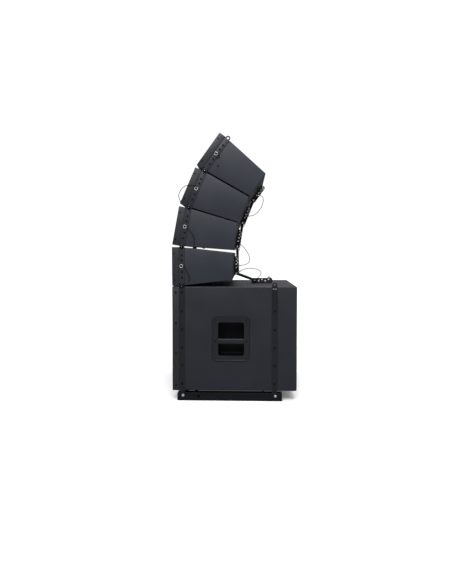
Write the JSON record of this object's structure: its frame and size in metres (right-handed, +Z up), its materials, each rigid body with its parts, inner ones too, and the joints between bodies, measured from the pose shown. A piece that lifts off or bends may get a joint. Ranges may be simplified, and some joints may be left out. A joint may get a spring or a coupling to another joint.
{
  "type": "line array speaker",
  "caption": "Ground-stacked line array: a bass cabinet on a steel skid carries a curved column of tapered speaker cabinets joined by side straps, hinges and rear angle links.",
  "frame": {"origin": "on the floor under the middle of the bass cabinet", "axes": "+Z up; the grilles face -Y; X across the width, with the side lanyards at +X"},
  "size_m": [0.614, 0.69, 1.4768],
  "materials": {
    "cabinet_paint": "plywood under black textured paint, satin",
    "grille_paint": "black powder coat on perforated steel",
    "rigging_paint": "black powder coat on steel bar and plate",
    "driver_steel": "black pressed steel",
    "moulded_plastic": "fine grain",
    "cone_paper": "coated paper cone",
    "wire": "black plastic cover over a thin wire rope",
    "zinc": "zinc plated",
    "rubber": "matt",
    "foam": "open-cell foam behind the grilles"
  },
  "bodies": {
    "sub": {"base_frame": "rigging_paint", "sub_cabinet": "cabinet_paint", "sub_grille": "grille_paint", "sub_woofer_frame": "driver_steel", "sub_handle_left": "moulded_plastic", "sub_handle_right": "moulded_plastic", "sub_strap_front_left": "rigging_paint", "sub_strap_front_right": "rigging_paint", "sub_strap_rear_left": "rigging_paint", "sub_strap_rear_right": "rigging_paint", "sub_connector_plate": "rigging_paint", "sub_rear_bracket": "rigging_paint", "lock_pin_1": "moulded_plastic"},
    "bass_cone": {"sub_cone": "cone_paper"},
    "module_1": {"array_cabinet_1": "cabinet_paint", "array_grille_1": "grille_paint", "woofer_left_1": "driver_steel", "woofer_right_1": "driver_steel", "waveguide_1": "moulded_plastic", "strap_left_1": "rigging_paint", "strap_right_1": "rigging_paint", "rear_bracket_1": "rigging_paint", "lock_pin_2": "moulded_plastic", "side_lanyard_1": "wire", "rear_lanyard_1": "wire"},
    "link_1": {"link_1": "rigging_paint"},
    "module_2": {"array_cabinet_2": "cabinet_paint", "array_grille_2": "grille_paint", "woofer_left_2": "driver_steel", "woofer_right_2": "driver_steel", "waveguide_2": "moulded_plastic", "strap_left_2": "rigging_paint", "strap_right_2": "rigging_paint", "rear_bracket_2": "rigging_paint", "lock_pin_3": "moulded_plastic", "side_lanyard_2": "wire", "rear_lanyard_2": "wire"},
    "link_2": {"link_2": "rigging_paint"},
    "module_3": {"array_cabinet_3": "cabinet_paint", "array_grille_3": "grille_paint", "woofer_left_3": "driver_steel", "woofer_right_3": "driver_steel", "waveguide_3": "moulded_plastic", "strap_left_3": "rigging_paint", "strap_right_3": "rigging_paint", "rear_bracket_3": "rigging_paint", "lock_pin_4": "moulded_plastic", "side_lanyard_3": "wire"},
    "link_3": {"link_3": "rigging_paint"},
    "module_4": {"array_cabinet_4": "cabinet_paint", "array_grille_4": "grille_paint", "woofer_left_4": "driver_steel", "woofer_right_4": "driver_steel", "waveguide_4": "moulded_plastic", "strap_left_4": "rigging_paint", "strap_right_4": "rigging_paint", "rear_bracket_4": "rigging_paint", "side_lanyard_4": "wire", "rear_lanyard_4": "wire"},
    "link_4": {"link_4": "rigging_paint"}
  },
  "joints": [
    {"name": "splay_1", "type": "hinge", "parent": "sub", "child": "module_1", "pos_m": [0, -0.29, 0.6375], "axis": [-1, 0, 0], "range_deg": [-3, 3], "deforming": ["rear_lanyard_1"]},
    {"name": "splay_2", "type": "hinge", "parent": "module_1", "child": "module_2", "pos_m": [0, -0.29, 0.8555], "axis": [-1, 0, 0], "range_deg": [-8, 3], "deforming": ["rear_lanyard_2"]},
    {"name": "splay_3", "type": "hinge", "parent": "module_2", "child": "module_3", "pos_m": [0, -0.25027, 1.06985], "axis": [-1, 0, 0], "range_deg": [-10.5, 0.5]},
    {"name": "splay_4", "type": "hinge", "parent": "module_3", "child": "module_4", "pos_m": [0, -0.16334, 1.26977], "axis": [-1, 0, 0], "range_deg": [-10, 1], "deforming": ["rear_lanyard_4"]},
    {"name": "link_1_swing", "type": "hinge", "parent": "module_1", "child": "link_1", "pos_m": [0, 0.004, 0.6945], "axis": [1, 0, 0], "range_deg": [-9.36, 9.36]},
    {"name": "link_2_swing", "type": "hinge", "parent": "module_2", "child": "link_2", "pos_m": [0, 0.00946, 0.85797], "axis": [1, 0, 0], "range_deg": [-7.58, 2.84]},
    {"name": "link_3_swing", "type": "hinge", "parent": "module_3", "child": "link_3", "pos_m": [0, 0.04207, 1.00489], "axis": [1, 0, 0], "range_deg": [-10.3, 0.5]},
    {"name": "link_4_swing", "type": "hinge", "parent": "module_4", "child": "link_4", "pos_m": [0, 0.10801, 1.14307], "axis": [1, 0, 0], "range_deg": [-9.68, 0.98]},
    {"name": "cone_travel", "type": "slide", "parent": "sub", "child": "bass_cone", "axis": [0, 1, 0], "range_m": [-0.008, 0.008], "stiffness_N_per_m": 3000}
  ],
  "couplings": [
    {"joint": "link_1_swing", "follows": "splay_1", "ratio": 3.117},
    {"joint": "link_2_swing", "follows": "splay_2", "ratio": 0.945},
    {"joint": "link_3_swing", "follows": "splay_3", "ratio": 0.98},
    {"joint": "link_4_swing", "follows": "splay_4", "ratio": 0.967}
  ]
}
